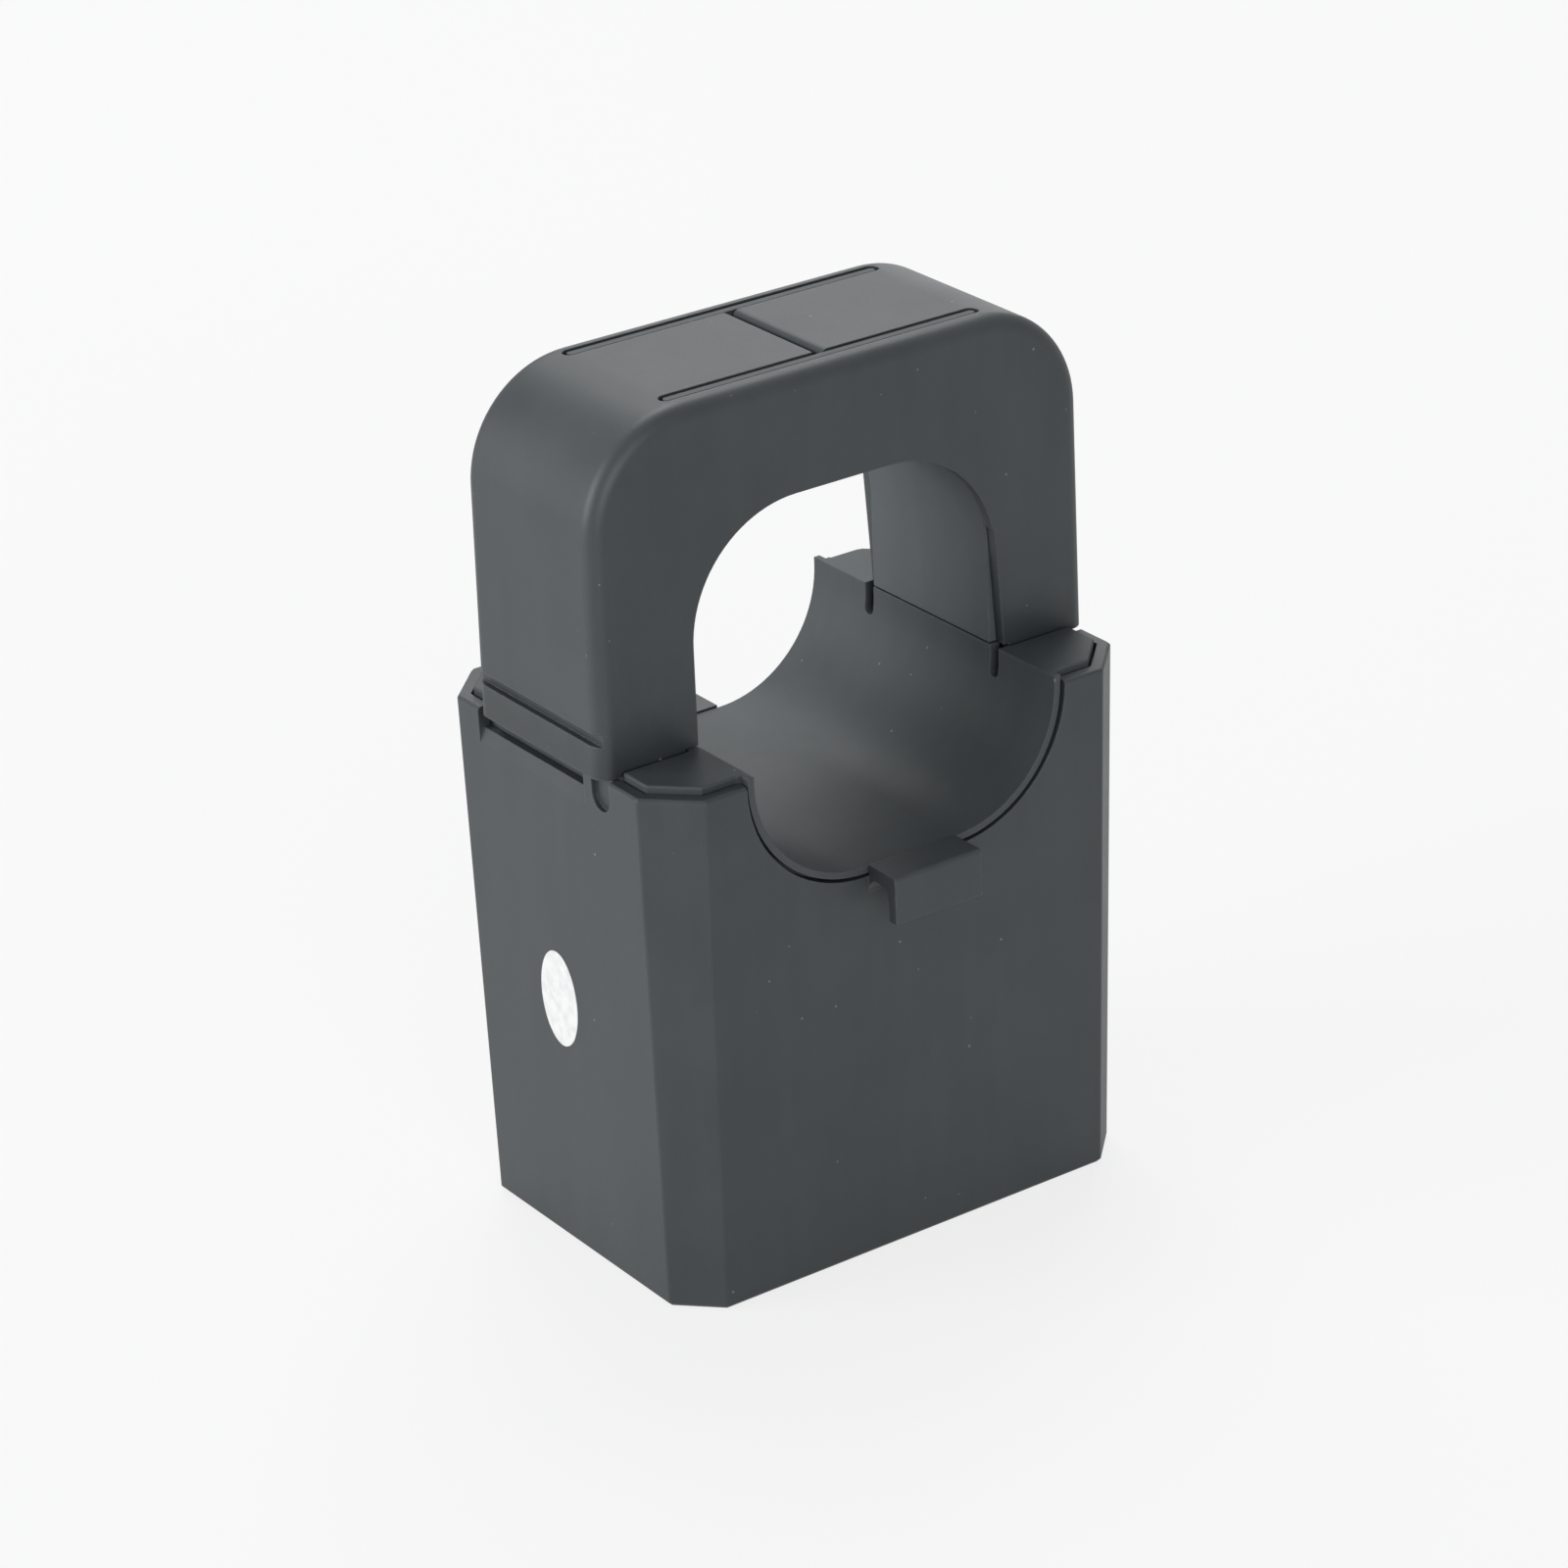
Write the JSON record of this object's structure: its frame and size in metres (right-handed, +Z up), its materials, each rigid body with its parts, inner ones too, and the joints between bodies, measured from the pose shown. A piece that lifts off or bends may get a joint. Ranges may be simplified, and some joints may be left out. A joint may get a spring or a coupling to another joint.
{
  "type": "split-core current transducer",
  "caption": "Split-core current transducer: chamfered box housing with a saddle-shaped top, and a hinged yoke that snaps shut round a conductor to close a square window with large corner radii.",
  "frame": {"origin": "centre of the housing's underside", "axes": "+Z up from the underside to the top of the yoke; the conductor runs along Y, front towards -Y; latch towards -X, hinge and output terminals towards +X"},
  "size_m": [0.0583, 0.049, 0.091],
  "materials": {
    "housing_plastic": "fine-grained dark slate moulding",
    "saddle_plastic": "smooth dark slate moulding",
    "yoke_plastic": "fine-grained dark slate moulding",
    "bobbin_plastic": "glass-filled natural moulding",
    "core_steel": "ground laminations, strip wound",
    "pin_steel": "drawn",
    "copper_wire": "enamelled wire layers",
    "tape": "yellow polyester tape",
    "board": "solder-masked laminate",
    "resistor_body": "lacquered",
    "diode_body": "moulded",
    "tinned": "tinned",
    "terminal_plastic": "black moulding",
    "nickel": "nickel plated"
  },
  "bodies": {
    "base": {"housing": "housing_plastic", "saddle": "saddle_plastic", "hinge_pin": "pin_steel", "lower_core": "core_steel", "bobbin": "bobbin_plastic", "winding": "copper_wire", "winding_tape": "tape", "contact_pin_front": "tinned", "contact_pin_back": "tinned", "circuit_board": "board", "burden_resistor": "resistor_body", "suppressor_diode": "diode_body", "terminal_block": "terminal_plastic", "terminal_plate_front": "nickel", "terminal_plate_back": "nickel"},
    "yoke": {"yoke_shell": "yoke_plastic", "yoke_liner": "saddle_plastic", "upper_core": "core_steel"},
    "washer_front": {"clamp_washer_front": "nickel"},
    "washer_back": {"clamp_washer_back": "nickel"},
    "screw_front": {"terminal_screw_front": "nickel"},
    "screw_back": {"terminal_screw_back": "nickel"}
  },
  "joints": [
    {"name": "yoke_hinge", "type": "hinge", "parent": "base", "child": "yoke", "pos_m": [0.0273, 0, 0.0569], "axis": [0, 1, 0], "range_deg": [0, 135]},
    {"name": "washer_front_lift", "type": "slide", "parent": "base", "child": "washer_front", "axis": [1, 0, 0], "range_m": [0, 0.0015]},
    {"name": "washer_back_lift", "type": "slide", "parent": "base", "child": "washer_back", "axis": [1, 0, 0], "range_m": [0, 0.0015]},
    {"name": "screw_front_turn", "type": "hinge", "parent": "washer_front", "child": "screw_front", "pos_m": [0.0235, -0.004, 0.012], "axis": [1, 0, 0], "range_deg": [0, 1080]},
    {"name": "screw_back_turn", "type": "hinge", "parent": "washer_back", "child": "screw_back", "pos_m": [0.0235, 0.004, 0.012], "axis": [1, 0, 0], "range_deg": [0, 1080]}
  ],
  "couplings": [
    {"joint": "screw_front_turn", "follows": "washer_front_lift", "rad_per_m": 12566},
    {"joint": "screw_back_turn", "follows": "washer_back_lift", "rad_per_m": 12566}
  ]
}
